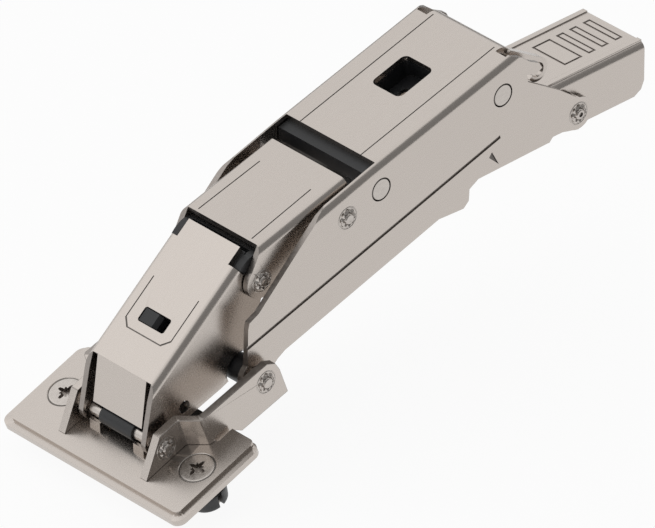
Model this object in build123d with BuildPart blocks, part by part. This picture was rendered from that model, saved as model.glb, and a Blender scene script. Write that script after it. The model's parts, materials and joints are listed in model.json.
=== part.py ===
from build123d import *
import math
import os

# Wide-opening concealed furniture hinge with a screw-on door plate, shown open at 110 degrees.
# X runs across the hinge, Y back along the mounting arm, Z away from the cabinet side.
# The values and functions count Y and Z from the door pin, and save() moves each piece so that
# the origin is the middle of the arm's seat. All sizes are in millimetres.

os.makedirs("parts", exist_ok=True)

# Middle of the arm's seat on its mounting plate, from the door pin
seat_y = 123.5

# Sheet and fits
sheet = 1.5
bend_radius = 2.0
turn_fit = 0.05
held_fit = 0.02
cheek_gap = 0.3
beyond = 200.0

# Pivot axes as (Y, Z)
swing_y = 26.8
swing_z = 8.8
knee_y = 32.1
knee_z = 31.0
cross_y = 56.2
cross_z = 39.3
arm_pivot_y = 134.5
arm_pivot_z = 33.6
pin_radius = 1.7
pin_chamfer = 0.4
rivet_tip_height = 0.9

# Widths measured from the middle plane, and the gaps that stack the other channels on them
central_half = 11.4
body_side_gap = 1.8
bracket_side_gap = 1.7
bracket_sheet = 2.0
lug_side_gap = 1.5
lug_sheet = 2.2
arm_half = 11.0

# Side brackets, along the plate and up from its top
lug_top = 8.2
step_from = 5.3
step_to = 8.4
step_bend = 1.2
step_lead = 0.8
bracket_end = 32.0
bracket_below = 4.5

# Door plate
plate_tilt = 20.0
plate_length = 61.0
plate_width = 28.0
plate_thickness = 2.5
plate_corner = 2.5
plate_rim = 1.8
plate_rim_drop = 0.9
pin_above_plate = 3.8
pin_along_plate = -0.85
screw_spacing = 45.0
screw_along = 0.7
screw_head_radius = 4.6
screw_head_depth = 2.4
screw_core_radius = 1.9
screw_length = 11.0
recess_radius = 2.3
recess_slot = 0.9
recess_depth = 1.6
finger_from = 5.7
finger_width = 3.5
door_sleeve_radius = 2.4
door_sleeve_half = 5.5
dowel_radius = 4.7
dowel_barb_radius = 5.25
dowel_length = 10.4
dowel_pitch = 3.6
dowel_slit = 1.2
cone_radius = 3.2
cone_height = 3.0
swing_sleeve_radius = 3.4

# Central link
central_slope = 39.6
central_web_height = 11.55
central_web_from = 9.7
central_web_to = 47.7
central_top_half = 8.65
knee_notch_from = 42.8
knee_notch_depth = 3.5
tongue_half = 8.3
tongue_foot_y = -1.5
tongue_foot_z = 2.8
tongue_bevel = 0.6
central_lobe = 3.7
door_lobe = 3.2
open_pivot_play = 0.75
peep_hole_radius = 1.6
window_from = 21.1
window_to = 25.0
window_half = 4.4
window_corner = 0.7
switch_travel = 3.0
line_width = 0.3
line_depth = 0.15
central_line_half = 7.8
central_line_from = 18.4
central_line_to = 32.0

# Middle link
middle_web_height = 7.1
middle_web_from = -23.2
middle_web_to = 4.6
middle_line_from = -22.4
middle_line_to = -2.6
middle_line_half = 9.2
knee_lobe = 4.6
guide_front_reach = 5.0

# Outer body
body_slope = 15.1
body_top = 7.3
body_bottom = -20.4
body_web_from = 12.35
body_web_to = 55.8
rear_wall = 60.2
body_line_half = 10.3
rear_flange_half = 11.6
rear_flange_drop = 7.5
rear_bend = 4.0
strap_inside = 9.9
strap_outside = 12.4
wing_step = 3.6
cheek_groove_width = 0.9
cheek_groove_depth = 0.35
swing_lobe = 4.3
arm_lobe = 4.3
port_from = 31.4
port_to = 43.0
port_half = 4.9
port_offset = -1.0
port_corner = 1.6
curl_y = 121.3
curl_z = 50.8
curl_radius = 3.1
curl_sheet = 1.2
curl_slope = -46.0
front_cross_u = 11.2
front_cross_v = 0.4
rear_cross_u = 51.4
rear_cross_v = -0.8
cross_pin_radius = 2.4
cross_flange_radius = 3.0
case_to = 26.0
case_below = 3.0
case_sweep_gap = 0.3
middle_fold = 104.3

# Mounting arm
arm_top = 42.7
arm_bottom = 29.0
arm_end = 158.0
arm_web_from = 91.0
arm_ridge_from = 8.4
arm_ridge_to = 9.9
arm_ridge_height = 0.3
arm_ridge_lead = 14.0
grip_half = 5.6
grip_groove = 0.5
grip_depth = 0.35
guide_rear_y = 86.5
guide_rear_z = 37.7
guide_lobe = 4.3
guide_pin_radius = 1.5

# Guide lever
lever_half_height = 2.5
lever_eye = 3.5
lever_eye_play = 1.0
lever_cheek_from = 5.6
lever_cheek = 2.0


def side_plane(y, z, slope, x):
    """Plane square to X at x, its origin over (y, z), its first axis slope degrees up from +Y."""
    turn = math.radians(slope)
    return Plane(origin=(x, y, z), x_dir=(0, math.cos(turn), math.sin(turn)), z_dir=(1, 0, 0))


def local(y, z, y0, z0, slope):
    """The point (y, z) in the axes of side_plane(y0, z0, slope)."""
    turn = math.radians(slope)
    dy = y - y0
    dz = z - z0
    return (dy * math.cos(turn) + dz * math.sin(turn), dz * math.cos(turn) - dy * math.sin(turn))


def side_ridge(part, y, z, slope, x, height, least):
    """Long straight edges of part at -x and x, height above the axis of side_plane(y, z, slope)."""
    def on_ridge(edge):
        middle = edge.center()
        level = local(middle.Y, middle.Z, y, z, slope)[1]
        return abs(abs(middle.X) - x) < 0.01 and abs(level - height) < 0.01 and edge.length > least
    return part.edges().filter_by(GeomType.LINE).filter_by(on_ridge)


def web_face(y, z, slope, height):
    """Plane of a channel's web, height above the axis of side_plane(y, z, slope), X across."""
    side = side_plane(y, z, slope, 0)
    return Plane(origin=side.from_local_coords((0, height, 0)), x_dir=(1, 0, 0), z_dir=side.y_dir)


def outline(points):
    """Fill the closed outline through points in the current sketch."""
    Polygon(*points, align=None)


def save(part, name):
    """Move one finished piece into the hinge's frame, name it and write its file."""
    placed = part.moved(Location((0, -seat_y, -arm_bottom)))
    placed.label = name
    export_step(placed, f"parts/{name}.step")


middle_half = central_half + cheek_gap + sheet
body_half = middle_half + body_side_gap + sheet
wing_half = arm_half + cheek_gap + sheet
bracket_arm_inside = body_half + bracket_side_gap
lug_inside = central_half + lug_side_gap
central_inner = central_half - sheet
middle_inner = middle_half - sheet
body_inner = body_half - sheet
arm_inner = arm_half - sheet
wing_inner = wing_half - sheet
bracket_outside = bracket_arm_inside + bracket_sheet

body_swing = local(swing_y, swing_z, cross_y, cross_z, body_slope)
body_knee = local(knee_y, knee_z, cross_y, cross_z, body_slope)
body_arm = local(arm_pivot_y, arm_pivot_z, cross_y, cross_z, body_slope)
central_knee = local(knee_y, knee_z, 0, 0, central_slope)
central_swing = local(swing_y, swing_z, 0, 0, central_slope)
tilt = math.radians(plate_tilt)
plate_y = pin_above_plate * math.sin(tilt) - pin_along_plate * math.cos(tilt)
plate_z = -pin_above_plate * math.cos(tilt) - pin_along_plate * math.sin(tilt)
plate_swing = local(swing_y, swing_z, plate_y, plate_z, plate_tilt)
plate_pin = (pin_along_plate, pin_above_plate)
guide_front_y = cross_y - guide_front_reach
guide_front_z = cross_z
body_guide_front = local(guide_front_y, guide_front_z, cross_y, cross_z, body_slope)


def pin_solid(y, z, radius, half):
    """A plain pin across the hinge with chamfered ends, from -half to half."""
    with BuildPart() as pin:
        with BuildSketch(side_plane(y, z, 0, -half)):
            Circle(radius)
        extrude(amount=2 * half)
        chamfer(pin.edges().filter_by(GeomType.CIRCLE), pin_chamfer)
    return pin.part


def long_rivet(y, z, outside):
    """A rivet that runs right across the hinge, its crimped tips proud of both sides."""
    return pin_solid(y, z, pin_radius, outside + rivet_tip_height)


def stub_rivets(y, z, inside, outside):
    """Two short rivets, one through each pair of cheeks, with crimped tips proud of the outer ones."""
    with BuildPart() as rivets:
        for sign in (1, -1):
            with BuildSketch(side_plane(y, z, 0, sign * inside)):
                Circle(pin_radius)
            extrude(amount=sign * (outside + rivet_tip_height - inside))
        tips = rivets.edges().filter_by(GeomType.CIRCLE)
        chamfer(tips.filter_by(lambda e: abs(e.center().X) > outside), pin_chamfer)
    return rivets.part


def make_door_plate():
    """Flat pressed plate with a stepped rim, two countersunk holes and two lanced pin fingers."""
    top = web_face(plate_y, plate_z, plate_tilt, 0)
    with BuildPart() as plate:
        with BuildSketch(top.offset(-plate_thickness)):
            RectangleRounded(plate_length, plate_width, plate_corner)
        extrude(amount=plate_thickness - plate_rim_drop)
        with BuildSketch(top.offset(-plate_rim_drop)):
            with Locations((0, plate_rim / 2)):
                RectangleRounded(plate_length - 2 * plate_rim, plate_width - plate_rim, plate_corner * 0.6)
        extrude(amount=plate_rim_drop)
        with Locations(top.location):
            with Locations((screw_spacing / 2, screw_along), (-screw_spacing / 2, screw_along)):
                CounterSinkHole(screw_core_radius + 0.3, screw_head_radius + held_fit, counter_sink_angle=90)
        with BuildSketch(top.offset(-plate_thickness - 1)):
            for sign in (1, -1):
                with Locations((sign * (bracket_arm_inside + bracket_outside) / 2, plate_width / 2)):
                    RectangleRounded(bracket_sheet + 1.6, 2 * (plate_width / 2 - step_to - 0.4), 1.2)
        extrude(amount=plate_thickness + 2, mode=Mode.SUBTRACT)
        for sign in (1, -1):
            with BuildSketch(side_plane(plate_y, plate_z, plate_tilt, sign * finger_from)):
                outline([(-4.1, -0.6), (-4.1, 0), (-3.3, 2.5), (-2.6, 2.5), (-1.8, 1.8), (-1.8, -0.6)])
            extrude(amount=sign * finger_width)
    return plate.part


def bracket_outline():
    """Side outline of a bracket: the lug on the plate, then the arm back to the swing pin."""
    below = -bracket_below
    outline([(-9.0, held_fit), (-1.5, lug_top), (step_to, lug_top), (bracket_end - 2.7, lug_top - 0.9),
             (bracket_end - 0.6, lug_top - 2.6), (bracket_end, 3.0), (bracket_end, below),
             (16.7, below + 0.7), (15.2, -2.2), (step_to + 0.9, -2.2), (step_to + 0.9, held_fit)])


def make_bracket(sign):
    """One side bracket: a stamped strip that stands on the plate and steps outward to the swing pin."""
    outer = bracket_outside
    lug_outer = lug_inside + lug_sheet
    with BuildPart() as bracket:
        with BuildSketch(side_plane(plate_y, plate_z, plate_tilt, sign * lug_inside)):
            bracket_outline()
        extrude(amount=sign * (outer - lug_inside))
        across = side_plane(plate_y, plate_z, plate_tilt, 0)
        floor = Plane(origin=across.origin - across.y_dir * beyond, x_dir=across.x_dir, z_dir=across.y_dir)
        with BuildSketch(floor) as plan:
            outline([(-beyond, -sign * lug_inside), (step_from, -sign * lug_inside),
                     (step_to, -sign * bracket_arm_inside), (beyond, -sign * bracket_arm_inside),
                     (beyond, -sign * outer), (step_to - step_lead, -sign * outer),
                     (step_from - step_lead, -sign * lug_outer), (-beyond, -sign * lug_outer)])
            fillet(plan.vertices().filter_by_position(Axis.X, 0, bracket_end), step_bend)
        extrude(amount=2 * beyond, mode=Mode.INTERSECT)
        with BuildSketch(across):
            with Locations(plate_pin, plate_swing):
                Circle(pin_radius + held_fit)
        extrude(amount=outer + 1, both=True, mode=Mode.SUBTRACT)
    return bracket.part


def make_screws():
    """Two countersunk screws with cross recesses, flush with the plate."""
    top = web_face(plate_y, plate_z, plate_tilt, 0)
    with BuildPart() as screws:
        for sign in (1, -1):
            axis = Plane(origin=top.from_local_coords((sign * screw_spacing / 2, screw_along, 0)),
                         x_dir=top.x_dir, z_dir=top.x_dir.cross(top.z_dir))
            with BuildSketch(axis):
                outline([(0, -0.05), (screw_head_radius - 0.1, -0.05), (screw_core_radius, -screw_head_depth),
                         (screw_core_radius, -screw_length + cone_height), (0, -screw_length + cone_height)])
            revolve(axis=Axis(axis.origin, axis.y_dir))
        with BuildSketch(top.offset(-0.05)):
            with Locations((screw_spacing / 2, screw_along), (-screw_spacing / 2, screw_along)):
                Rectangle(2 * recess_radius, recess_slot)
                Rectangle(recess_slot, 2 * recess_radius)
        extrude(amount=-recess_depth, taper=12, mode=Mode.SUBTRACT)
    return screws.part


def make_dowels():
    """Two black expanding sleeves with barbs, split at the foot."""
    top = web_face(plate_y, plate_z, plate_tilt, 0)
    under = -plate_thickness - held_fit
    bore = screw_core_radius + turn_fit
    with BuildPart() as dowels:
        for sign in (1, -1):
            axis = Plane(origin=top.from_local_coords((sign * screw_spacing / 2, screw_along, 0)),
                         x_dir=top.x_dir, z_dir=top.x_dir.cross(top.z_dir))
            with BuildSketch(axis):
                outline([(bore, under), (dowel_barb_radius, under), (dowel_radius, under - dowel_pitch),
                         (dowel_barb_radius, under - dowel_pitch), (dowel_radius, -dowel_length),
                         (cone_radius + 0.3, -dowel_length), (bore, -dowel_length + cone_height)])
            revolve(axis=Axis(axis.origin, axis.y_dir))
        with BuildSketch(top.offset(-dowel_length - 1)):
            with Locations((screw_spacing / 2, screw_along), (-screw_spacing / 2, screw_along)):
                Rectangle(2 * dowel_barb_radius + 1, dowel_slit)
        extrude(amount=5.2, mode=Mode.SUBTRACT)
    return dowels.part


def make_cones():
    """Two steel cones that the screws draw up into the sleeves to spread them."""
    top = web_face(plate_y, plate_z, plate_tilt, 0)
    tip = -dowel_length + cone_height - 0.9
    foot = -dowel_length - 0.4
    with BuildPart() as cones:
        for sign in (1, -1):
            axis = Plane(origin=top.from_local_coords((sign * screw_spacing / 2, screw_along, 0)),
                         x_dir=top.x_dir, z_dir=top.x_dir.cross(top.z_dir))
            with BuildSketch(axis):
                outline([(0, tip), (screw_core_radius, tip), (cone_radius, foot), (0, foot)])
            revolve(axis=Axis(axis.origin, axis.y_dir))
    return cones.part


def make_pin_sleeve():
    """Black plastic sleeve that turns the door pin into a soft stop for the damper."""
    with BuildPart() as sleeve:
        with BuildSketch(side_plane(0, 0, 0, -door_sleeve_half)):
            Circle(door_sleeve_radius)
            Circle(pin_radius + held_fit, mode=Mode.SUBTRACT)
        extrude(amount=2 * door_sleeve_half)
    return sleeve.part


def make_swing_sleeve():
    """Black sleeve on the swing pin between the body's cheeks."""
    with BuildPart() as sleeve:
        half = body_inner - cheek_gap
        with BuildSketch(side_plane(swing_y, swing_z, 0, -half)):
            Circle(swing_sleeve_radius)
            Circle(pin_radius + turn_fit, mode=Mode.SUBTRACT)
        extrude(amount=2 * half)
    return sleeve.part


def central_line(half, start):
    """Panel outline pressed into the central link's web, with cut corners at its foot."""
    outline([(-half, central_line_to), (-half, start + 2.0), (2.0 - half, start), (half - 2.0, start),
             (half, start + 2.0), (half, central_line_to)])


def make_central_link():
    """Folded channel from the door pin to the knee, with its front tongue and the switch window."""
    knee = central_knee
    swing = central_swing
    top = central_web_height
    with BuildPart() as link:
        with BuildSketch(side_plane(0, 0, central_slope, -central_half)):
            outline([(central_web_from, top), (central_web_to, top), (knee[0] + 2.4, knee[1] + 4.0),
                     (knee[0] + 3.0, knee[1] - 2.6), (knee[0], knee[1] - 4.2),
                     (swing[0] + 5.0, swing[1] + 2.6), (swing[0] - 4.0, swing[1] + 0.6),
                     (swing[0] - 6.5, swing[1] + 1.4), (3.2, -2.2),
                     (-2.6, 2.0), (central_web_from - 3.6, top - 2.4)])
            with Locations((0, 0)):
                Circle(door_lobe)
            with Locations(knee):
                Circle(central_lobe)
            with Locations(swing):
                Circle(swing_lobe, mode=Mode.SUBTRACT)
        extrude(amount=2 * central_half)
        fillet(side_ridge(link, 0, 0, central_slope, central_half, top, 0), bend_radius)
        with BuildSketch(side_plane(0, 0, central_slope, -central_inner)):
            Rectangle(beyond, beyond)
            with Locations((central_web_from, top - sheet)):
                Rectangle(central_web_to - central_web_from, sheet + 1, align=Align.MIN, mode=Mode.SUBTRACT)
        extrude(amount=2 * central_inner, mode=Mode.SUBTRACT)
        face = web_face(0, 0, central_slope, top)
        with BuildSketch(face):
            with Locations((0, (window_from + window_to) / 2)):
                RectangleRounded(2 * window_half, window_to - window_from, window_corner)
        extrude(amount=-sheet - 0.4, mode=Mode.SUBTRACT)
        with BuildSketch(face):
            for sign in (1, -1):
                with Locations((sign * central_half, central_web_to)):
                    Rectangle(2 * (central_half - central_top_half), 2 * (central_web_to - knee_notch_from))
        extrude(amount=-knee_notch_depth, mode=Mode.SUBTRACT)
        with BuildSketch(face):
            central_line(central_line_half, central_line_from)
            with BuildSketch(mode=Mode.SUBTRACT):
                central_line(central_line_half - line_width, central_line_from + line_width)
        extrude(amount=-line_depth, mode=Mode.SUBTRACT)
        foot = local(tongue_foot_y, tongue_foot_z, 0, 0, central_slope)
        start = (central_web_from, top)
        reach = math.hypot(start[0] - foot[0], start[1] - foot[1])
        back = ((start[1] - foot[1]) / reach * sheet, -(start[0] - foot[0]) / reach * sheet)
        lift = ((start[0] - foot[0]) / reach * tongue_bevel, (start[1] - foot[1]) / reach * tongue_bevel)
        with BuildSketch(side_plane(0, 0, central_slope, -tongue_half)):
            outline([start, (start[0] + 1.6, start[1]), (start[0] + 1.6, start[1] - sheet),
                     (foot[0] + back[0] + lift[0], foot[1] + back[1] + lift[1]), foot])
        extrude(amount=2 * tongue_half)
        with BuildSketch(side_plane(0, 0, central_slope, 0)):
            with Locations((0, 0)):
                Circle(pin_radius + open_pivot_play)
            with Locations(knee):
                Circle(pin_radius + turn_fit)
            with Locations(local(9.1, 5.7, 0, 0, central_slope)):
                Circle(peep_hole_radius)
        extrude(amount=central_half + 1, both=True, mode=Mode.SUBTRACT)
    return link.part


def make_damper():
    """Black damper case under the central link's web, with the recess that its switch slides in."""
    top = central_web_height - sheet - held_fit
    half = central_inner - cheek_gap
    with BuildPart() as damper:
        with BuildSketch(side_plane(0, 0, central_slope, -half)):
            outline([(central_web_from + 3.0, top), (central_web_to - 0.2, top), (central_web_to, top - 3.2),
                     (central_knee[0] - 5.2, central_knee[1] + 0.4), (central_web_from + 3.6, 1.6),
                     (central_web_from - 1.2, 2.6)])
        extrude(amount=2 * half)
        face = web_face(0, 0, central_slope, top)
        with BuildSketch(face):
            with Locations((0, (window_from + window_to) / 2)):
                Rectangle(2 * window_half + 0.4, window_to - window_from)
        extrude(amount=-2.0, mode=Mode.SUBTRACT)
    return damper.part


def make_switch():
    """Small slider that turns the damper off, seen in the window of the central link."""
    deep = sheet + 2.0
    face = web_face(0, 0, central_slope, central_web_height - deep + held_fit)
    width = 2 * window_half - switch_travel - 0.4
    with BuildPart() as switch:
        with BuildSketch(face):
            with Locations((-window_half + 0.2 + width / 2, (window_from + window_to) / 2)):
                Rectangle(width, window_to - window_from - 0.4)
        extrude(amount=deep - 0.2)
        right = switch.faces().sort_by(Axis.X)[-1]
        chamfer(right.edges().sort_by(Axis.Z)[-1], 1.0)
    return switch.part


def make_middle_link():
    """Folded channel from the knee back into the body, level with the body's cover."""
    knee = body_knee
    top = middle_web_height
    guide = body_guide_front
    with BuildPart() as link:
        with BuildSketch(side_plane(cross_y, cross_z, body_slope, -middle_half)):
            outline([(middle_web_from, top), (middle_web_to, top), (middle_web_to, top - 2.6), (4.0, 1.0),
                     (2.4, -4.0), (guide[0], guide[1] - 4.2), (knee[0] + 3.0, knee[1] - 4.6),
                     (knee[0], knee[1] - knee_lobe), (knee[0] - 2.2, knee[1] + 4.0)])
            with Locations(knee):
                Circle(knee_lobe)
            with Locations((0, 0)):
                Circle(4.2)
        extrude(amount=2 * middle_half)
        fillet(side_ridge(link, cross_y, cross_z, body_slope, middle_half, top, 0), bend_radius)
        with BuildSketch(side_plane(cross_y, cross_z, body_slope, -middle_inner)):
            Rectangle(beyond, beyond)
            with Locations((middle_web_from, top - sheet)):
                Rectangle(middle_web_to - middle_web_from, sheet + 1, align=Align.MIN, mode=Mode.SUBTRACT)
        extrude(amount=2 * middle_inner, mode=Mode.SUBTRACT)
        with BuildSketch(web_face(cross_y, cross_z, body_slope, top)):
            for sign in (1, -1):
                near = sign * middle_line_half
                far = near - sign * 0.4
                outline([(near, middle_line_from), (far, middle_line_to),
                         (far - sign * line_width, middle_line_to), (near - sign * line_width, middle_line_from)])
        extrude(amount=-line_depth, mode=Mode.SUBTRACT)
        with BuildSketch(side_plane(cross_y, cross_z, body_slope, 0)):
            with Locations(knee):
                Circle(pin_radius + held_fit)
            with Locations((0, 0)):
                Circle(pin_radius + turn_fit)
            with Locations(guide):
                Circle(guide_pin_radius + held_fit)
        extrude(amount=middle_half + 1, both=True, mode=Mode.SUBTRACT)
    return link.part


def wing_plan(half_front, half_rear):
    """Plan of the body's cheeks square to the diagonal bend, where they step in to the arm."""
    outline([(-beyond, -half_front), (0, -half_front), (wing_step, -half_rear), (beyond, -half_rear),
             (beyond, half_rear), (wing_step, half_rear), (0, half_front), (-beyond, half_front)])


def make_rear_flange():
    """Rear wall of the body, folded down from the cover between the corner notches."""
    rear = rear_wall
    low = body_top - rear_flange_drop
    with BuildPart() as flange:
        with BuildSketch(side_plane(cross_y, cross_z, body_slope, -rear_flange_half)) as profile:
            outline([(body_web_to - 1, body_top), (rear, body_top), (rear, low), (rear - sheet, low),
                     (rear - sheet, body_top - sheet), (body_web_to - 1, body_top - sheet)])
            fillet(profile.vertices().sort_by_distance(Vector(rear, body_top))[0], rear_bend)
            inside = Vector(rear - sheet, body_top - sheet)
            fillet(profile.vertices().sort_by_distance(inside)[0], rear_bend - sheet)
        extrude(amount=2 * rear_flange_half)
    return flange.part


def make_strap():
    """Narrow strap behind the rear wall that ends in an open curl."""
    centre = local(curl_y, curl_z, cross_y, cross_z, body_slope)
    inner = curl_radius - curl_sheet
    turn = math.radians(curl_slope)
    back = (centre[0] - rear_wall + sheet / 2 - curl_radius * math.sin(turn)) / math.cos(turn)
    with BuildPart() as strap:
        with BuildSketch(side_plane(cross_y, cross_z, body_slope, strap_inside)):
            with Locations(Location((centre[0], centre[1], 0), (0, 0, curl_slope))):
                Circle(curl_radius)
                Rectangle(back, curl_radius, align=(Align.MAX, Align.MIN))
                Circle(inner, mode=Mode.SUBTRACT)
                Rectangle(back, inner, align=(Align.MAX, Align.MIN), mode=Mode.SUBTRACT)
                Polygon((0, 0), (-8, 0), (-8, -8), (-4.4, -8), align=None, mode=Mode.SUBTRACT)
        extrude(amount=strap_outside - strap_inside)
    return strap.part


def make_outer_body():
    """Large folded channel: cover with the port, two cheeks that step in to the arm, and the rear curl."""
    swing = body_swing
    arm = body_arm
    top = body_top
    bend_y = arm_pivot_y - 13.0
    bend_z = arm_pivot_z - 0.9
    diagonal = side_plane(bend_y, bend_z, 45, 0)
    reach = arm_pivot_y
    start = diagonal.origin - diagonal.x_dir * reach
    cross_section = Plane(origin=start, x_dir=-diagonal.y_dir, z_dir=diagonal.x_dir)
    with BuildPart() as bore:
        with BuildSketch(cross_section):
            wing_plan(body_inner, wing_inner)
        extrude(amount=2 * reach)
        with BuildSketch(side_plane(cross_y, cross_z, body_slope, -body_half)):
            Rectangle(2 * beyond, 2 * beyond)
            with Locations((body_web_from, top - sheet)):
                Rectangle(body_web_to - body_web_from, sheet + 1, align=Align.MIN, mode=Mode.SUBTRACT)
        extrude(amount=2 * body_half, mode=Mode.INTERSECT)
    with BuildPart() as body:
        with BuildSketch(side_plane(cross_y, cross_z, body_slope, -body_half)):
            outline([(body_web_to + 0.7, top), (body_web_from - 2.6, top), (-4.4, top - 0.4),
                     (-7.6, top - 1.2),
                     (-10.9, 4.4), (swing[0] + 8.8, swing[1] + 17.4), (swing[0] + 5.4, swing[1] + 15.6),
                     (swing[0] + 2.2, swing[1] + 15.0), (swing[0] + 1.4, swing[1] + 13.6),
                     (swing[0] - 1.6, swing[1] + 3.6), (swing[0], swing[1] - 2.0),
                     (swing[0] + 5.0, swing[1] - 1.4), (swing[0] + 7.4, swing[1] - 0.2),
                     (swing[0] + 10.0, body_bottom - 0.9), (25.0, body_bottom + 0.5),
                     (32.6, body_bottom - 2.0), (34.6, body_bottom - 1.0), (35.6, body_bottom + 1.9),
                     (38.8, body_bottom + 2.7), (arm[0] - 13.3, arm[1] + 2.6),
                     (arm[0] - 1.0, arm[1] - arm_lobe),
                     (arm[0] + 1.6, arm[1] + arm_lobe - 0.4), (arm[0] - 6.4, arm[1] + 14.2),
                     (rear_wall - 0.9, -2.6), (rear_wall - 0.6, -0.6), (rear_wall + 2.4, -2.2),
                     (rear_wall + 4.1, -1.9), (rear_wall + 3.6, 0.0), (rear_wall + 1.1, 2.3),
                     (rear_wall - 1.2, 5.4)])
            with Locations(swing):
                Circle(swing_lobe)
            with Locations(arm):
                Circle(arm_lobe)
        extrude(amount=2 * body_half)
        fillet(side_ridge(body, cross_y, cross_z, body_slope, body_half, top, 5 * bend_radius), bend_radius)
        with BuildSketch(cross_section):
            wing_plan(body_half, wing_half)
        extrude(amount=2 * reach, mode=Mode.INTERSECT)
        add(bore.part, mode=Mode.SUBTRACT)
        face = web_face(cross_y, cross_z, body_slope, top)
        add(make_rear_flange())
        add(make_strap())
        with BuildSketch(face):
            for sign in (1, -1):
                with Locations((sign * body_line_half, (body_web_from + body_web_to) / 2)):
                    Rectangle(line_width, body_web_to - body_web_from + 2)
        extrude(amount=-line_depth, mode=Mode.SUBTRACT)
        with BuildSketch(face):
            with Locations((port_offset, (port_from + port_to) / 2)):
                RectangleRounded(2 * port_half, port_to - port_from, port_corner)
        extrude(amount=-sheet - 1, mode=Mode.SUBTRACT)
        for sign in (1, -1):
            with BuildSketch(side_plane(cross_y, cross_z, body_slope, sign * body_half)):
                outline([(-44.0, -12.7), (47.8, -10.7), (47.8, -10.7 - cheek_groove_width),
                         (-44.0, -12.7 - cheek_groove_width)])
                outline([(44.4, -13.5), (43.2, -14.4), (45.5, -18.1)])
            extrude(amount=-sign * cheek_groove_depth, mode=Mode.SUBTRACT)
        with BuildSketch(side_plane(cross_y, cross_z, body_slope, 0)):
            with Locations((0, 0)):
                Circle(pin_radius + held_fit)
            with Locations(swing):
                Circle(pin_radius + turn_fit)
            with Locations(arm):
                Circle(pin_radius + turn_fit)
            with Locations((front_cross_u, front_cross_v), (rear_cross_u, rear_cross_v)):
                Circle(cross_flange_radius + held_fit)
        extrude(amount=body_half + 1, both=True, mode=Mode.SUBTRACT)
    return body.part


def make_cross_pin(u, v):
    """Flush pin across the body, wider and chamfered where it fills the cheeks' holes."""
    web = side_plane(cross_y, cross_z, body_slope, 0)
    place = web.from_local_coords((u, v, 0))
    shank = body_inner - cheek_gap / 2
    with BuildPart() as pin:
        add(pin_solid(place.Y, place.Z, cross_flange_radius, body_half))
        with BuildSketch(side_plane(place.Y, place.Z, 0, -shank)):
            Circle(cross_flange_radius + 1)
            Circle(cross_pin_radius, mode=Mode.SUBTRACT)
        extrude(amount=2 * shank, mode=Mode.SUBTRACT)
    return pin.part


def make_spring_case():
    """Black block across the body that houses the closing spring, seen in the gap before the cover."""
    swept = math.hypot(middle_web_to, middle_web_height) + case_sweep_gap
    folded = middle_web_height + case_sweep_gap
    under = body_top - sheet - held_fit
    half = body_inner - cheek_gap
    with BuildPart() as case:
        with BuildSketch(side_plane(cross_y, cross_z, body_slope, -half)):
            outline([(0, under), (case_to, under), (case_to, -case_below), (0, -case_below)])
            Circle(swept, mode=Mode.SUBTRACT)
            with Locations(Location((0, 0, 0), (0, 0, -middle_fold))):
                Rectangle(beyond, folded, align=(Align.CENTER, Align.MIN), mode=Mode.SUBTRACT)
            with Locations((front_cross_u, front_cross_v)):
                Circle(cross_pin_radius + held_fit, mode=Mode.SUBTRACT)
        extrude(amount=2 * half)
    return case.part


def make_collar():
    """Black plastic collar under the cover that lines the port."""
    face = web_face(cross_y, cross_z, body_slope, body_top - sheet - held_fit)
    middle = (port_offset, (port_from + port_to) / 2)
    with BuildPart() as collar:
        with BuildSketch(face):
            with Locations(middle):
                RectangleRounded(2 * port_half + 3.2, port_to - port_from + 3.2, port_corner + 0.8)
                RectangleRounded(2 * port_half, port_to - port_from, port_corner, mode=Mode.SUBTRACT)
        extrude(amount=-4.6)
        with BuildSketch(face.offset(-4.6)):
            with Locations(middle):
                RectangleRounded(2 * port_half + 3.2, port_to - port_from + 3.2, port_corner + 0.8)
                Circle(2.4, mode=Mode.SUBTRACT)
        extrude(amount=-1.0)
    return collar.part


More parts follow.
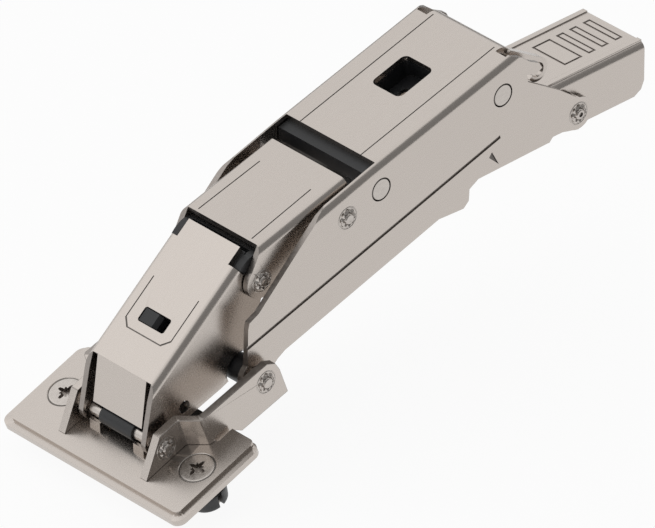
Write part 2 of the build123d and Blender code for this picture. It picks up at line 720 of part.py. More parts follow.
def make_arm():
    """Narrow folded channel that clips to the mounting plate, with two ears for the guide lever."""
    with BuildPart() as arm:
        with BuildSketch(side_plane(0, 0, 0, -arm_half)):
            outline([(guide_rear_y, guide_rear_z + guide_lobe), (arm_web_from - 1.5, arm_top),
                     (arm_end, arm_top), (arm_end, arm_bottom + 3.4), (arm_end - 1.0, arm_bottom + 1.2),
                     (arm_end - 3.2, arm_bottom),
                     (guide_rear_y + 6.0, arm_bottom), (guide_rear_y - 3.2, guide_rear_z - 3.0)])
            with Locations((guide_rear_y, guide_rear_z)):
                Circle(guide_lobe)
        extrude(amount=2 * arm_half)
        fillet(side_ridge(arm, 0, 0, 0, arm_half, arm_top, 5 * bend_radius), bend_radius)
        with BuildSketch(side_plane(0, 0, 0, -arm_inner)):
            outline([(0, 0), (beyond, 0), (beyond, arm_top - sheet), (arm_web_from, arm_top - sheet),
                     (arm_web_from, beyond), (0, beyond)])
        extrude(amount=2 * arm_inner, mode=Mode.SUBTRACT)
        ridge_from = arm_pivot_y - arm_ridge_lead
        for sign in (1, -1):
            with BuildSketch(Plane.XY.offset(arm_top - 0.6)):
                with Locations((sign * (arm_ridge_from + arm_ridge_to) / 2, (ridge_from + arm_end) / 2)):
                    Rectangle(arm_ridge_to - arm_ridge_from, arm_end - ridge_from)
            extrude(amount=0.6 + arm_ridge_height)
        grip = [(136.9, 142.7), (144.8, 147.1), (149.1, 151.4), (153.6, 155.9)]
        with BuildSketch(Plane.XY.offset(arm_top)):
            for low, high in grip:
                with Locations((0, (low + high) / 2)):
                    Rectangle(2 * grip_half, high - low)
                    Rectangle(2 * (grip_half - grip_groove), high - low - 2 * grip_groove, mode=Mode.SUBTRACT)
        extrude(amount=-grip_depth, mode=Mode.SUBTRACT)
        with BuildSketch(side_plane(0, 0, 0, 0)):
            with Locations((arm_pivot_y, arm_pivot_z)):
                Circle(pin_radius + held_fit)
            with Locations((guide_rear_y, guide_rear_z)):
                Circle(guide_pin_radius + held_fit)
        extrude(amount=arm_half + 1, both=True, mode=Mode.SUBTRACT)
    return arm.part


def make_guide_lever():
    """Hooked lever that ties the middle link's tail to the arm: two cheeks on a cross web."""
    reach = math.hypot(guide_rear_y - guide_front_y, guide_rear_z - guide_front_z)
    slope = math.degrees(math.atan2(guide_rear_z - guide_front_z, guide_rear_y - guide_front_y))
    half = lever_half_height
    with BuildPart() as lever:
        for sign in (1, -1):
            with BuildSketch(side_plane(guide_front_y, guide_front_z, slope, sign * lever_cheek_from)):
                outline([(0.4 - half, 0), (half, 0), (5.6, -6.4), (9.0, -7.6), (14.0, -6.4),
                         (reach - 4.0, 1.6),
                         (reach, half), (reach, -half), (reach - 6.0, -4.2), (14.4, -11.4), (8.0, -12.4),
                         (2.2, -9.6)])
                with Locations((0, 0), (reach, 0)):
                    Circle(lever_eye)
                with Locations((0, 0)):
                    Circle(guide_pin_radius + lever_eye_play, mode=Mode.SUBTRACT)
                with Locations((reach, 0)):
                    Circle(guide_pin_radius + turn_fit, mode=Mode.SUBTRACT)
            extrude(amount=sign * lever_cheek)
        with BuildSketch(side_plane(guide_front_y, guide_front_z, slope, -lever_cheek_from)):
            outline([(8.0, -12.4), (14.4, -11.4), (20.0, -8.6), (19.2, -7.2), (14.0, -9.9), (8.0, -10.9)])
        extrude(amount=2 * lever_cheek_from)
    return lever.part


save(make_door_plate(), "door_plate")
save(make_bracket(1), "bracket_right")
save(make_bracket(-1), "bracket_left")
save(make_screws(), "plate_screws")
save(make_dowels(), "dowel_sleeves")
save(make_cones(), "dowel_cones")
save(long_rivet(0, 0, lug_inside + lug_sheet), "door_pin")
save(make_pin_sleeve(), "door_pin_sleeve")
save(long_rivet(swing_y, swing_z, bracket_outside), "swing_pin")
save(make_swing_sleeve(), "swing_sleeve")
save(make_central_link(), "central_link")
save(make_damper(), "damper_case")
save(make_switch(), "damper_switch")
save(make_middle_link(), "middle_link")
save(stub_rivets(knee_y, knee_z, central_inner + 0.1, middle_half), "knee_rivets")
save(pin_solid(guide_front_y, guide_front_z, guide_pin_radius, middle_half), "guide_pin_front")
save(make_outer_body(), "outer_body")
save(stub_rivets(cross_y, cross_z, middle_inner + 0.1, body_half), "cross_rivets")
save(make_cross_pin(front_cross_u, front_cross_v), "roller_pin")
save(make_spring_case(), "spring_case")
save(make_cross_pin(rear_cross_u, rear_cross_v), "rear_cross_pin")
save(make_collar(), "port_collar")
save(make_arm(), "mounting_arm")
save(pin_solid(guide_rear_y, guide_rear_z, guide_pin_radius, arm_half), "guide_pin_rear")
save(stub_rivets(arm_pivot_y, arm_pivot_z, arm_inner + 0.1, wing_half), "arm_rivets")
save(make_guide_lever(), "guide_lever")
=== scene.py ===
import bpy
import json
import math
import numpy as np
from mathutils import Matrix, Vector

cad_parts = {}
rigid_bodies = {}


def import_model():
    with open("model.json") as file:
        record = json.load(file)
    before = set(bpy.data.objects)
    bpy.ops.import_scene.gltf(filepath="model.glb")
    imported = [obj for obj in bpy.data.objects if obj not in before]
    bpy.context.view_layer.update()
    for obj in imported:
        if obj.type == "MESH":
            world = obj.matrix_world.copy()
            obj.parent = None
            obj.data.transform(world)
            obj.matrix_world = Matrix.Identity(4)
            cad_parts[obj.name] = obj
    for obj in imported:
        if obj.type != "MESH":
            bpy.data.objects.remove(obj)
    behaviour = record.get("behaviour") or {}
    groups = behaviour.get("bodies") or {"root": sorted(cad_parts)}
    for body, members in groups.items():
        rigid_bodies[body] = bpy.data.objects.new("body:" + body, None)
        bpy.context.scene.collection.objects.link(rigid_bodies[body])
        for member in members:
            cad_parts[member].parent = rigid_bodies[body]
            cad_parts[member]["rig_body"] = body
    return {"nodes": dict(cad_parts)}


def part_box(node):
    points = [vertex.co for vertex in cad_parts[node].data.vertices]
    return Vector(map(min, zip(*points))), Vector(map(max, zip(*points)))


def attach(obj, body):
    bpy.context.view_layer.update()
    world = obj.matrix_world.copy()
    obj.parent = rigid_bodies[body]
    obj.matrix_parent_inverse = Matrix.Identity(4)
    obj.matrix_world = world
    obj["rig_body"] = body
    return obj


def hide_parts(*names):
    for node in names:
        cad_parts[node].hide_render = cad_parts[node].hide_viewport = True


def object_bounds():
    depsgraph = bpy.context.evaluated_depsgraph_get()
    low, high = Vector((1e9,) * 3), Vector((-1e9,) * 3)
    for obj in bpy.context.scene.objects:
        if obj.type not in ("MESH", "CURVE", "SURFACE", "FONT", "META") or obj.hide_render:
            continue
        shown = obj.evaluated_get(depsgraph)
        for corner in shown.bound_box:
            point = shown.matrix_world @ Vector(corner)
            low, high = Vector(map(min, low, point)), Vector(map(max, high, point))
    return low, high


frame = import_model()
cad_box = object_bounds()
nodes = frame["nodes"]

# Pressed sheet: the door plate with its brackets, the three folded links, the guide lever and the arm.
# They are stamped and folded from steel strip about 1.5 mm thick and then nickel plated, so they have
# a warm satin skin with the strip's rolling grain and duller sheared edges. The sheared edges and
# rounded corners are also darkened as painted shade, and the pressed lines are painted dark as shade.
streak_scale, streak_squeeze, streak_roughness = 2600.0, 0.06, 0.5
mottle_scale, mottle_roughness = 900.0, 0.55


def new_material(name):
    """An empty node material with its output and one Principled shader."""
    material = bpy.data.materials.new(name)
    material.use_nodes = True
    tree = material.node_tree
    tree.nodes.clear()
    output = tree.nodes.new("ShaderNodeOutputMaterial")
    shader = tree.nodes.new("ShaderNodeBsdfPrincipled")
    tree.links.new(shader.outputs["BSDF"], output.inputs["Surface"])
    return material, tree, shader


def noise(tree, vector, scale, roughness):
    """The value of a three-octave noise on vector, with scale in cycles per metre."""
    node = tree.nodes.new("ShaderNodeTexNoise")
    node.inputs["Scale"].default_value = scale
    node.inputs["Detail"].default_value = 3.0
    node.inputs["Roughness"].default_value = roughness
    tree.links.new(vector, node.inputs["Vector"])
    return node.outputs["Fac"]


def combined(tree, kind, *values):
    """The output of one maths node on sockets and plain numbers."""
    node = tree.nodes.new("ShaderNodeMath")
    node.operation = kind
    for socket, value in zip(node.inputs, values):
        if isinstance(value, float):
            socket.default_value = value
        else:
            tree.links.new(value, socket)
    return node.outputs["Value"]


def mapped(tree, value, low, high, inner, outer, kind="LINEAR"):
    """A value carried from the range low to high over to the range inner to outer, and clamped there."""
    node = tree.nodes.new("ShaderNodeMapRange")
    node.interpolation_type = kind
    node.inputs["From Min"].default_value = low
    node.inputs["From Max"].default_value = high
    node.inputs["To Min"].default_value = inner
    node.inputs["To Max"].default_value = outer
    tree.links.new(value, node.inputs["Value"])
    return node.outputs["Result"]


def lay_finish(tree, shader, shade, dull, bright, rough, height, relief):
    """Feed the shader a colour from dull to bright by shade, its roughness, and a bump of height * relief."""
    tone = tree.nodes.new("ShaderNodeMix")
    tone.data_type = "RGBA"
    tone.inputs["A"].default_value = (*dull, 1)
    tone.inputs["B"].default_value = (*bright, 1)
    bump = tree.nodes.new("ShaderNodeBump")
    bump.inputs["Strength"].default_value = 1.0
    bump.inputs["Distance"].default_value = relief
    tree.links.new(shade, tone.inputs["Factor"])
    tree.links.new(height, bump.inputs["Height"])
    tree.links.new(tone.outputs["Result"], shader.inputs["Base Color"])
    tree.links.new(rough, shader.inputs["Roughness"])
    tree.links.new(bump.outputs["Normal"], shader.inputs["Normal"])


def build_rolling_grain():
    """Group: long fine streaks from noise squeezed along Y, and a soft mottle from plain noise."""
    group = bpy.data.node_groups.new("rolling_grain", "ShaderNodeTree")
    group.interface.new_socket("Vector", in_out="INPUT", socket_type="NodeSocketVector")
    group.interface.new_socket("Streak", in_out="OUTPUT", socket_type="NodeSocketFloat")
    group.interface.new_socket("Mottle", in_out="OUTPUT", socket_type="NodeSocketFloat")
    entry = group.nodes.new("NodeGroupInput")
    leave = group.nodes.new("NodeGroupOutput")
    squeeze = group.nodes.new("ShaderNodeVectorMath")
    squeeze.operation = "MULTIPLY"
    squeeze.inputs[1].default_value = (1.0, streak_squeeze, 1.0)
    group.links.new(entry.outputs["Vector"], squeeze.inputs[0])
    streak = noise(group, squeeze.outputs["Vector"], streak_scale, streak_roughness)
    mottle = noise(group, entry.outputs["Vector"], mottle_scale, mottle_roughness)
    group.links.new(streak, leave.inputs["Streak"])
    group.links.new(mottle, leave.inputs["Mottle"])
    return group


rolling_grain = build_rolling_grain()
# The part of a noise's range that it mostly keeps to, and that of the sum of two
noise_low, noise_high = 0.3, 0.7
sum_low, sum_high = 0.7, 1.3


def plated_steel(name, slope, dull, bright, rough_low, rough_high, relief):
    """Nickel plate: colour follows the sum of streaks and mottle, roughness the mottle, and the bump the
    streaks, which run along slope, in degrees."""
    material, tree, shader = new_material(name)
    place = tree.nodes.new("ShaderNodeTexCoord")
    turn = tree.nodes.new("ShaderNodeMapping")
    turn.inputs["Rotation"].default_value = (-math.radians(slope), 0, 0)
    grain = tree.nodes.new("ShaderNodeGroup")
    grain.node_tree = rolling_grain
    tree.links.new(place.outputs["Object"], turn.inputs["Vector"])
    tree.links.new(turn.outputs["Vector"], grain.inputs["Vector"])
    streak, mottle = grain.outputs["Streak"], grain.outputs["Mottle"]
    shade = mapped(tree, combined(tree, "ADD", streak, mottle), sum_low, sum_high, 0.0, 1.0)
    rough = mapped(tree, mottle, noise_low, noise_high, rough_low, rough_high)
    lay_finish(tree, shader, shade, dull, bright, rough, streak, relief)
    shader.inputs["Metallic"].default_value = 1.0
    return material


# The edge finish is duller cut steel, darkened further as painted shade on cut faces, rounded corners, screw
# recesses, rivet crimp slopes and the arm's pressed lines.
sheared_edge_and_shade = plated_steel("sheared_edge_and_shade", 0, (0.30, 0.27, 0.25), (0.36, 0.33, 0.305), 0.30, 0.42, 0.000003)
# The dark line finish is painted shade: it darkens pressed lines, the cheeks' triangular mark, pin chamfers,
# deep rivet hollows and the rim round the screw heads.
painted_dark_shade = plated_steel("painted_dark_shade", 0, (0.12, 0.11, 0.10), (0.17, 0.155, 0.145), 0.34, 0.44, 0.000003)


def cad_faces(name):
    """Centres in metres and unit normals of a CAD node's faces, as two arrays."""
    polygons = nodes[name].data.polygons
    centres = np.zeros(len(polygons) * 3)
    normals = np.zeros(len(polygons) * 3)
    polygons.foreach_get("center", centres)
    polygons.foreach_get("normal", normals)
    return centres.reshape(-1, 3), normals.reshape(-1, 3)


strip_width = 0.0009
plane_gap = 0.0001
normal_steps = 100


def on_a_bend(name):
    """True for the faces of a CAD node that lie on a bend or a round. The faces are sorted into planes by
    normal and offset, and a plane whose widest triangle is narrower than strip_width is part of a bend."""
    mesh = nodes[name].data
    points = np.zeros(len(mesh.vertices) * 3)
    mesh.vertices.foreach_get("co", points)
    corners = np.zeros(len(mesh.loops), np.int32)
    mesh.loops.foreach_get("vertex_index", corners)
    triangle = points.reshape(-1, 3)[corners.reshape(-1, 3)]
    one, other = triangle[:, 1] - triangle[:, 0], triangle[:, 2] - triangle[:, 0]
    twice_area = np.linalg.norm(np.cross(one, other), axis=1)
    longest = np.linalg.norm(triangle - np.roll(triangle, 1, axis=1), axis=2).max(1)
    width = twice_area / np.maximum(longest, 1e-9)
    centres, normals = cad_faces(name)
    offset = np.sum(centres * normals, axis=1) / plane_gap
    planes = np.round(np.concatenate([normals * normal_steps, offset[:, None]], 1)).astype(int)
    found, plane = np.unique(planes, axis=0, return_inverse=True)
    widest = np.zeros(len(found))
    np.maximum.at(widest, plane.ravel(), width)
    return widest[plane.ravel()] < strip_width


def finish_cad(name, materials, index, width):
    """Give a CAD node its materials, face by face by index or all by one, round its corners by width and
    smooth its bends. Corners of more than 32 degrees are rounded, and take the edge finish, which on sheet
    and pins is darkened as painted shade."""
    piece = nodes[name]
    mesh = piece.data
    mesh.materials.clear()
    for material in materials:
        mesh.materials.append(material)
    index = np.broadcast_to(index, len(mesh.polygons)).astype(np.int32)
    mesh.polygons.foreach_set("material_index", index)
    mesh.polygons.foreach_set("use_smooth", on_a_bend(name))
    weld = piece.modifiers.new("weld", "WELD")
    weld.merge_threshold = 1e-6
    bevel = piece.modifiers.new("rounded", "BEVEL")
    bevel.width = width
    bevel.segments = 2
    bevel.limit_method = "ANGLE"
    bevel.angle_limit = math.radians(32)
    bevel.material = 1
    flat = piece.modifiers.new("flat_faces", "WEIGHTED_NORMAL")
    flat.mode = "FACE_AREA"
    flat.weight = 90


# Slope of each sheet in degrees, and half its width over the cheeks
sheet_slopes = {"central_link": 39.6, "middle_link": 15.1, "outer_body": 15.1, "mounting_arm": 0.0,
                "door_plate": 20.0, "guide_lever": 0.0, "bracket_right": 20.0, "bracket_left": 20.0}
sheet_sides = {"central_link": 0.0114, "middle_link": 0.0132, "outer_body": 0.0165, "mounting_arm": 0.011,
               "door_plate": 0.0151, "guide_lever": 0.0076, "bracket_right": 0.0202, "bracket_left": 0.0202}
# A point (Y, Z) under each web, and the height of the web's face over it, square to the web
webs = {"central_link": ((-0.1235, -0.029), 0.01155), "middle_link": ((-0.0673, 0.0103), 0.0071),
        "outer_body": ((-0.0673, 0.0103), 0.0073), "mounting_arm": ((0.0, 0.0), 0.0137)}
sheet_thickness = 0.0015
shallowest_line, deepest_line = 0.00001, 0.00038
# The small triangular mark on the body's cheeks lies behind mark_from and under mark_top
mark_from, mark_top = -0.0245, 0.0095
# Cosines of a face's normal with a direction: square to it, along it at a cut end, and along it exactly
square_to, cut_across, flat_to = 0.05, 0.995, 0.9999


def sheet_index(name):
    """Which finish each face of a sheet node has: 0 the skin, 1 a sheared edge, duller and darkened as
    painted shade, 2 a pressed line painted dark as shade. A face is in a pressed line where it lies under the
    face of its cheek or web by less than deepest_line."""
    centres, normals = cad_faces(name)
    slope = math.radians(sheet_slopes[name])
    along = np.array([0, math.cos(slope), math.sin(slope)])
    upright = np.array([0, -math.sin(slope), math.cos(slope)])
    half = sheet_sides[name]
    across, sideways = np.abs(centres[:, 0]), np.abs(normals[:, 0])
    in_cheek = (across > half - sheet_thickness) & (across < half) & (sideways < square_to)
    if name == "door_plate":
        in_cheek &= np.abs(normals @ upright) < flat_to
    cut_end = np.abs(normals @ along) > cut_across
    index = np.where(in_cheek | (cut_end & (name in webs)), 1, 0)
    lines = [(half - across, sideways, 1)]
    if name in webs:
        foot, height = webs[name]
        depth = height - (centres - np.array([0, *foot])) @ upright
        lines.append((depth, np.abs(normals @ upright), 1 if name == "mounting_arm" else 2))
    # Faces sunk in a line take the dark line finish, or the edge finish on the cheeks and the arm, as painted
    # shade.
    for depth, facing, finish in lines:
        wall_or_floor = (facing < square_to) | (facing > flat_to)
        sunken = wall_or_floor & (depth > shallowest_line) & (depth < deepest_line)
        index[sunken] = finish
        # The sunken triangular mark on the body's cheeks is painted dark as shade too.
        if name == "outer_body":
            index[sunken & (centres[:, 1] > mark_from) & (centres[:, 2] < mark_top)] = 2
    return index


nickel_dull, nickel_bright = (0.545, 0.497, 0.458), (0.560, 0.512, 0.473)
sheet_rounding = 0.00014
for node_name, slope in sheet_slopes.items():
    skin = plated_steel(node_name + "_plate", slope, nickel_dull, nickel_bright, 0.255, 0.28, 0.0000002)
    finish_cad(node_name, (skin, sheared_edge_and_shade, painted_dark_shade), sheet_index(node_name), sheet_rounding)


# Plain pins: turned steel, plated like the sheet. The two cross pins are pressed flush into the body's
# cheeks, with a chamfer round each end that is painted dark as shade, and the guide pins stay inside.
# The cones that the screws pull up into the dowels are turned and plated in the same way.
pin_skin = plated_steel("pin_plate", 0, (0.50, 0.46, 0.43), (0.58, 0.54, 0.50), 0.22, 0.32, 0.000002)
pin_rounding = 0.00008
chamfer_low, chamfer_high = 0.3, 0.95
for node_name in ("roller_pin", "rear_cross_pin", "guide_pin_front", "guide_pin_rear"):
    facing = np.abs(cad_faces(node_name)[1][:, 0])
    # Pin faces on the chamfer take the dark line finish as painted shade.
    chamfer = np.where((facing > chamfer_low) & (facing < chamfer_high), 2, 0)
    finish_cad(node_name, (pin_skin, sheared_edge_and_shade, painted_dark_shade), chamfer, pin_rounding)
finish_cad("dowel_cones", (pin_skin, sheared_edge_and_shade), 0, pin_rounding)


# Rivets: turned steel. The long ones run right across, the short ones go through a pair of cheeks, and
# each tip is crimped over by a star-shaped punch, which leaves a hub, eight lobes and a pressed ring.
lobe_count = 8


def lathe(rows, turns):
    """A closed surface of revolution round X: row i is a ring at x = rows[i][0] whose radius is
    rows[i][1] * (1 + rows[i][2] * cos(lobe_count * angle)). The first and last rows are single points."""
    rows = np.array(rows, float)
    angle = np.arange(turns) * 2 * math.pi / turns
    radius = rows[1:-1, 1:2] * (1 + rows[1:-1, 2:3] * np.cos(lobe_count * angle))
    x = np.broadcast_to(rows[1:-1, 0:1], radius.shape)
    rings = np.stack([x, radius * np.cos(angle), radius * np.sin(angle)], -1)
    points = np.concatenate([rings.reshape(-1, 3), [[rows[0, 0], 0, 0], [rows[-1, 0], 0, 0]]])
    return points, ring_faces(len(rows) - 2, turns)


def ring_faces(count, turns):
    """Quads between count rings of turns points, and a fan to one point at each end. The first ring's
    point is the last but one of all, and the last ring's point is the last."""
    step = np.arange(turns)
    after = (step + 1) % turns
    lower = np.arange(count - 1)[:, None] * turns
    upper = lower + turns
    quads = np.stack([lower + after, upper + after, upper + step, lower + step], -1).reshape(-1, 4)
    top = (count - 1) * turns
    first = np.stack([np.full(turns, count * turns), after, step], -1)
    last = np.stack([np.full(turns, count * turns + 1), top + step, top + after], -1)
    return quads, first, last


def make_piece(name, shells, materials):
    """One mesh of several shells, each (points, (quads, first, last), the finish of each quad). The end
    faces first and last take the first finish, and corners of more than 38 degrees stay sharp."""
    points, faces, index, base = [], [], [], 0
    for shell_points, (quads, first, last), chosen in shells:
        points.append(shell_points)
        faces += (quads + base).tolist() + (first + base).tolist() + (last + base).tolist()
        index += list(chosen) + [0] * (len(first) + len(last))
        base += len(shell_points)
    mesh = bpy.data.meshes.new(name)
    mesh.from_pydata(np.concatenate(points).tolist(), [], faces)
    for material in materials:
        mesh.materials.append(material)
    mesh.polygons.foreach_set("material_index", np.array(index, np.int32))
    mesh.polygons.foreach_set("use_smooth", np.ones(len(faces), bool))
    mesh.set_sharp_from_angle(angle=math.radians(38))
    piece = bpy.data.objects.new(name, mesh)
    bpy.context.scene.collection.objects.link(piece)
    return piece


rivet_shank = 0.0017
shank_chamfer = 0.0003
rivet_turns = 64
cad_head_height = 0.0009
hub_height = 0.00088
hollow_mouth, hollow_foot = 0.00062, 0.00050
# The bands with finish 1, the inner slopes of the pressed ring and of the lobes, take the edge finish as
# painted shade.
# Crimped tip as (height over the cheek, radius, depth of the lobes, finish of the band that follows)
crimp = ((0.00002, 0.00300, 0, 0), (0.00012, 0.00290, 0, 0), (0.00012, 0.00276, 0, 1),
         (0.00002, 0.00264, 0, 0), (0.00002, 0.00230, 0.05, 0), (0.00036, 0.00214, 0.14, 0),
         (0.00052, 0.00180, 0.16, 1), (0.00030, 0.00142, 0.06, 0), (0.00072, 0.00128, 0, 0),
         (hub_height, 0.00110, 0, 0))
# Depth of the hollow in the hub: a mere dimple, or a deep one whose wall is painted dark as shade
dimple, deep_hollow = 0.00006, 0.0004


def crimped_rows(face, hollow):
    """The rows of a crimped tip from the cheek's face outwards, with a hollow of that depth in its hub."""
    rows = [(face + height, radius, lobes, finish) for height, radius, lobes, finish in crimp]
    # In a deep hollow the wall takes the dark line finish as painted shade.
    rows.append((face + hub_height, hollow_mouth, 0, 2 if hollow == deep_hollow else 0))
    rows.append((face + hub_height - hollow, hollow_foot, 0, 0))
    rows.append((face + hub_height - hollow, 0, 0, 0))
    return rows


def rivet_shell(rows, y, z, flip):
    """A lathed rivet at (y, z), each band finished by its row's last value; flip mirrors it in X."""
    points, (quads, first, last) = lathe([row[:3] for row in rows], rivet_turns)
    chosen = np.repeat([row[3] for row in rows[1:-2]], rivet_turns)
    if flip:
        points = points * (-1, 1, 1)
        quads, first, last = quads[:, ::-1], first[:, ::-1], last[:, ::-1]
    return points + (0, y, z), (quads, first, last), chosen


def make_rivet(node_name, inside, hollow):
    """Replace a CAD rivet node by lathed rivets with crimped tips, one half or rivet on each side. The
    shank starts at inside from the middle plane, and is half of one long shank where that is 0."""
    low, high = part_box(node_name)
    y, z = (low[1] + high[1]) / 2, (low[2] + high[2]) / 2
    face = high[0] - cad_head_height
    stem = [(inside, 0, 0, 0), (inside, rivet_shank - shank_chamfer, 0, 0),
            (inside + shank_chamfer, rivet_shank, 0, 0), (face, rivet_shank, 0, 0)]
    if inside == 0:
        stem = [(0, 0, 0, 0), (0, rivet_shank, 0, 0), (face, rivet_shank, 0, 0)]
    rows = stem + crimped_rows(face, hollow)
    pair = [rivet_shell(rows, y, z, False), rivet_shell(rows, y, z, True)]
    piece = make_piece(node_name + "_crimped", pair, (pin_skin, sheared_edge_and_shade, painted_dark_shade))
    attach(piece, nodes[node_name]["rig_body"])
    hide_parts(node_name)


make_rivet("door_pin", 0, dimple)
make_rivet("swing_pin", 0, dimple)
make_rivet("knee_rivets", 0.0100, dimple)
make_rivet("cross_rivets", 0.0118, dimple)
make_rivet("arm_rivets", 0.0096, deep_hollow)


# Plate screws: two countersunk steel screws that spread the dowels, plated like the pins. Their heads
# are flush in the plate and have a cross recess with four small star marks between its wings.
plate_tilt = math.radians(20)
plate_up = np.array([0, -math.sin(plate_tilt), math.cos(plate_tilt)])
plate_along = np.array([0, math.cos(plate_tilt), math.sin(plate_tilt)])
plate_across = np.array([1.0, 0, 0])
screw_middle = np.array([0, -0.120744, -0.032041])
screw_pitch = 0.045
screw_turns = 96
screw_core = 0.0019
head_cone = 0.0024
screw_reach = 0.008
head_sunk = 0.00004
# Rings of the head's face: close together over the recess, then out to the head's rounded rim
head_rings = np.concatenate([np.linspace(0.0002, 0.0026, 25), [0.0036, 0.00415, 0.00435, 0.0045]])
rim_from, rim_width, rim_drop = 0.00425, 0.00025, 0.00012
hub_reach, mark_reach, wing_reach = 0.0008, 0.0015, 0.0023
recess_deep, recess_wall = 0.0011, 0.0002
recess_dark_from = 0.0001


def screw_shell(x):
    """A screw on the plate's normal: a head disc whose recess is sunk where the radius is under
    hub + wing * |cos 2a|^5 + mark * |sin 2a|^9, then a cone and a shank as plain rings. The recess has
    the edge finish as painted shade, and the two outermost bands of the head, at its rim, are painted dark as
    shade."""
    angle = np.arange(screw_turns) * 2 * math.pi / screw_turns
    wing = np.abs(np.cos(2 * angle)) ** 5 * (wing_reach - hub_reach)
    mark = np.abs(np.sin(2 * angle)) ** 9 * (mark_reach - hub_reach)
    edge = hub_reach + wing + mark
    inside = (edge[None, :] + recess_wall / 2 - head_rings[:, None]) / recess_wall
    sink = np.clip(inside, 0, 1) * recess_deep
    rim = np.clip((head_rings - rim_from) / rim_width, 0, 1)[:, None] * rim_drop
    height = -head_sunk - sink - rim
    radius = np.broadcast_to(head_rings[:, None], height.shape)
    lower = np.array([[screw_core, -head_cone], [screw_core, -screw_reach]])
    radius = np.concatenate([radius, np.broadcast_to(lower[:, :1], (2, screw_turns))])
    height = np.concatenate([height, np.broadcast_to(lower[:, 1:], (2, screw_turns))])
    spot = screw_middle + plate_across * x
    outwards = np.cos(angle)[:, None] * plate_across + np.sin(angle)[:, None] * plate_along
    ring = spot + radius[..., None] * outwards + height[..., None] * plate_up
    ends = np.array([spot + (-head_sunk - recess_deep) * plate_up, spot - screw_reach * plate_up])
    points = np.concatenate([ring.reshape(-1, 3), ends])
    quads, first, last = ring_faces(len(radius), screw_turns)
    chosen = np.zeros((len(radius) - 1, screw_turns), int)
    # Painted shade: the recess takes the edge finish, and the rim's two bands the dark line finish.
    chosen[:len(sink) - 1][sink[:-1] > recess_dark_from] = 1
    chosen[len(sink) - 3:len(sink) - 1] = 2
    return points, (quads[:, ::-1], first[:, ::-1], last[:, ::-1]), chosen.ravel()


screws = make_piece("plate_screws_recessed", [screw_shell(-screw_pitch / 2), screw_shell(screw_pitch / 2)],
                    (pin_skin, sheared_edge_and_shade, painted_dark_shade))
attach(screws, nodes["plate_screws"]["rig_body"])
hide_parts("plate_screws")


# Black mouldings: the damper's case and switch, the dowels, sleeves, spring case and port collar.
# They are injection moulded in black acetal or nylon, with a fine matte texture from the mould.
speck_scale = 4000.0
speck_relief = 0.000005
gloss_swing = 0.06
moulding_rounding = 0.0001


def moulded_black(name, low, high, rough):
    """Black plastic: colour and roughness vary with a fine noise, which is also its bump."""
    material, tree, shader = new_material(name)
    place = tree.nodes.new("ShaderNodeTexCoord")
    speck = noise(tree, place.outputs["Object"], speck_scale, 0.5)
    matte = mapped(tree, speck, 0.0, 1.0, rough - gloss_swing, rough + gloss_swing)
    lay_finish(tree, shader, speck, low, high, matte, speck, speck_relief)
    return material


black_skin = moulded_black("black_moulding", (0.009, 0.009, 0.010), (0.018, 0.019, 0.021), 0.42)
black_edge = moulded_black("black_moulding_edge", (0.02, 0.02, 0.022), (0.03, 0.032, 0.034), 0.34)
for node_name in ("damper_case", "damper_switch", "dowel_sleeves", "door_pin_sleeve", "swing_sleeve",
                  "spring_case", "port_collar"):
    finish_cad(node_name, (black_skin, black_edge), 0, moulding_rounding)


# Damper's shoulders: two short black arcs moulded on the damper's case, which fill the notch between the
# central link's web and the knee and turn inside the middle link's cheeks, and a lower bar that joins them.
knee = (-0.0914, 0.002)
shoulder_inside, shoulder_outside = 0.00962, 0.01160
shoulder_radii = (0.00475, 0.00690)
shoulder_from, shoulder_to, bar_to = math.radians(60), math.radians(143), math.radians(94)
shoulder_steps = 17


def shoulder_shell(left, right, end):
    """A ring sector round the knee: a rectangle from left to right and over shoulder_radii, carried along
    an arc from shoulder_from to end, and closed at both ends."""
    angle = np.linspace(shoulder_from, end, shoulder_steps)
    low, high = shoulder_radii
    x = np.array([left, right, right, left])
    radius = np.array([low, low, high, high])
    y = knee[0] + radius * np.cos(angle)[:, None]
    z = knee[1] + radius * np.sin(angle)[:, None]
    points = np.stack([np.broadcast_to(x, y.shape), y, z], -1).reshape(-1, 3)
    step = np.arange(4)
    after = (step + 1) % 4
    lower = np.arange(len(angle) - 1)[:, None] * 4
    upper = lower + 4
    quads = np.stack([upper + step, upper + after, lower + after, lower + step], -1).reshape(-1, 4)
    first = step[None, :]
    last = (len(angle) - 1) * 4 + step[None, ::-1]
    return points, (quads, first, last), np.zeros(len(quads), int)


arcs = [shoulder_shell(-shoulder_outside, -shoulder_inside, shoulder_to),
        shoulder_shell(shoulder_inside, shoulder_outside, shoulder_to)]
bar = shoulder_shell(-shoulder_inside, shoulder_inside, bar_to)
shoulders = make_piece("damper_shoulders", [*arcs, bar], (black_skin,))
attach(shoulders, nodes["damper_case"]["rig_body"])


# Studio: a pale floor under the hinge, one soft lamp, and a room that the metal mirrors. The room is
# bright overhead and on the left and front, and dark on the right and along the horizon behind.
floor_half = 3.0
floor_gap = 0.0004
plain_share = 0.92
near_floor, far_floor, far_level = 0.30, 0.70, 0.10


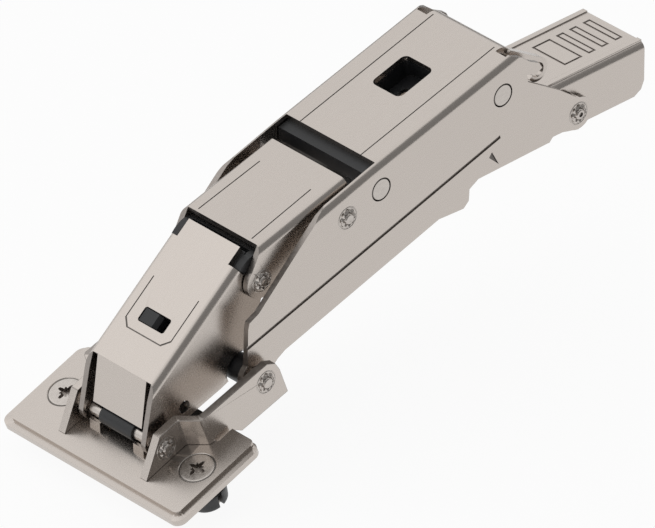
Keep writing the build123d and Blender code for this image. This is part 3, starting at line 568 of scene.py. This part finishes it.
def studio_floor(height):
    """A flat square floor at height. To the camera and in mirrors, plain_share of it is plain white and
    the rest takes shadows. In mirrors that white fades from near_floor to far_floor, down to far_level."""
    mesh = bpy.data.meshes.new("floor")
    mesh.from_pydata([(-floor_half, -floor_half, height), (floor_half, -floor_half, height),
                      (floor_half, floor_half, height), (-floor_half, floor_half, height)], [], [(0, 1, 2, 3)])
    floor = bpy.data.objects.new("floor", mesh)
    bpy.context.scene.collection.objects.link(floor)
    material, tree, shader = new_material("pale_floor")
    shader.inputs["Base Color"].default_value = (0.9, 0.9, 0.9, 1)
    shader.inputs["Roughness"].default_value = 0.9
    path = tree.nodes.new("ShaderNodeLightPath")
    place = tree.nodes.new("ShaderNodeTexCoord")
    reach = tree.nodes.new("ShaderNodeVectorMath")
    reach.operation = "LENGTH"
    plain = tree.nodes.new("ShaderNodeEmission")
    plain.inputs["Color"].default_value = (1, 1, 1, 1)
    mixed = tree.nodes.new("ShaderNodeMixShader")
    tree.links.new(place.outputs["Object"], reach.inputs[0])
    to_camera, in_mirror = path.outputs["Is Camera Ray"], path.outputs["Is Glossy Ray"]
    share = combined(tree, "MULTIPLY", combined(tree, "MAXIMUM", to_camera, in_mirror), plain_share)
    fade = mapped(tree, reach.outputs["Value"], near_floor, far_floor, 1.0, far_level)
    tree.links.new(share, mixed.inputs["Fac"])
    tree.links.new(combined(tree, "MAXIMUM", fade, to_camera), plain.inputs["Strength"])
    tree.links.new(shader.outputs["BSDF"], mixed.inputs[1])
    tree.links.new(plain.outputs["Emission"], mixed.inputs[2])
    output = next(node for node in tree.nodes if node.type == "OUTPUT_MATERIAL")
    tree.links.new(mixed.outputs["Shader"], output.inputs["Surface"])
    mesh.materials.append(material)


studio_floor(float(cad_box[0][2]) - floor_gap)

# Where the room turns dark, on the X, Y and height of the way that a ray goes, and how dark it gets
right_from, right_full = 0.12, 0.36
back_from, back_full = 0.15, 0.40
horizon_full, horizon_to = 0.08, 0.28
dark_level = 0.28

world = bpy.data.worlds.new("room")
bpy.context.scene.world = world
world.use_nodes = True
room = world.node_tree
room.nodes.clear()
sight = room.nodes.new("ShaderNodeTexCoord")
split = room.nodes.new("ShaderNodeSeparateXYZ")
room.links.new(sight.outputs["Generated"], split.inputs["Vector"])
right_dark = mapped(room, split.outputs["X"], right_from, right_full, 0.0, 1.0, "SMOOTHSTEP")
back_dark = mapped(room, split.outputs["Y"], back_from, back_full, 0.0, 1.0, "SMOOTHSTEP")
way_height = combined(room, "ABSOLUTE", split.outputs["Z"])
low_dark = mapped(room, way_height, horizon_full, horizon_to, 1.0, 0.0, "SMOOTHSTEP")
dark_share = combined(room, "MAXIMUM", right_dark, combined(room, "MULTIPLY", back_dark, low_dark))
room_level = mapped(room, dark_share, 0.0, 1.0, 1.0, dark_level, "SMOOTHSTEP")
view_path = room.nodes.new("ShaderNodeLightPath")
shown = combined(room, "MAXIMUM", room_level, view_path.outputs["Is Camera Ray"])
sky_out = room.nodes.new("ShaderNodeOutputWorld")
sky = room.nodes.new("ShaderNodeBackground")
sky.inputs["Color"].default_value = (1, 1, 1, 1)
room.links.new(shown, sky.inputs["Strength"])
room.links.new(sky.outputs["Background"], sky_out.inputs["Surface"])


def stand(thing, side, up, back, place):
    """Link a lamp or camera to the scene at place, with its own X, Y and Z along side, up and back."""
    bpy.context.scene.collection.objects.link(thing)
    pose = np.eye(4)
    pose[:3, 0], pose[:3, 1], pose[:3, 2], pose[:3, 3] = side, up, back, place
    thing.matrix_world = pose.T.tolist()


def soft_lamp(name, place, aim, size, watts):
    """A square area lamp at place that points at aim."""
    data = bpy.data.lights.new(name, "AREA")
    data.size = size
    data.energy = watts
    lamp = bpy.data.objects.new(name, data)
    way = np.array(aim, float) - np.array(place, float)
    way /= np.linalg.norm(way)
    side = np.cross(way, (0, 0, 1.0))
    side /= np.linalg.norm(side)
    stand(lamp, side, np.cross(side, way), -way, place)


middle = np.array([0.0, -0.0582, -0.0135])
lamp_place = (-0.75, -0.55, 0.75)
lamp_size, lamp_watts = 0.9, 0.5
soft_lamp("key", lamp_place, middle, lamp_size, lamp_watts)

azimuth, elevation = math.radians(46.7), math.radians(31.8)
distance = 3.0
view_width = 0.15314
sensor_width = 36.0
outwards = math.cos(elevation)
away = np.array([math.sin(azimuth) * outwards, -math.cos(azimuth) * outwards, math.sin(elevation)])
right = np.array([math.cos(azimuth), math.sin(azimuth), 0.0])
camera_data = bpy.data.cameras.new("camera")
camera_data.sensor_width = sensor_width
camera_data.lens = sensor_width * distance / view_width
camera_data.clip_end = 50.0
camera = bpy.data.objects.new("camera", camera_data)
stand(camera, right, np.cross(away, right), away, middle + distance * away)
bpy.context.scene.camera = camera
bpy.context.scene.view_settings.view_transform = "Standard"
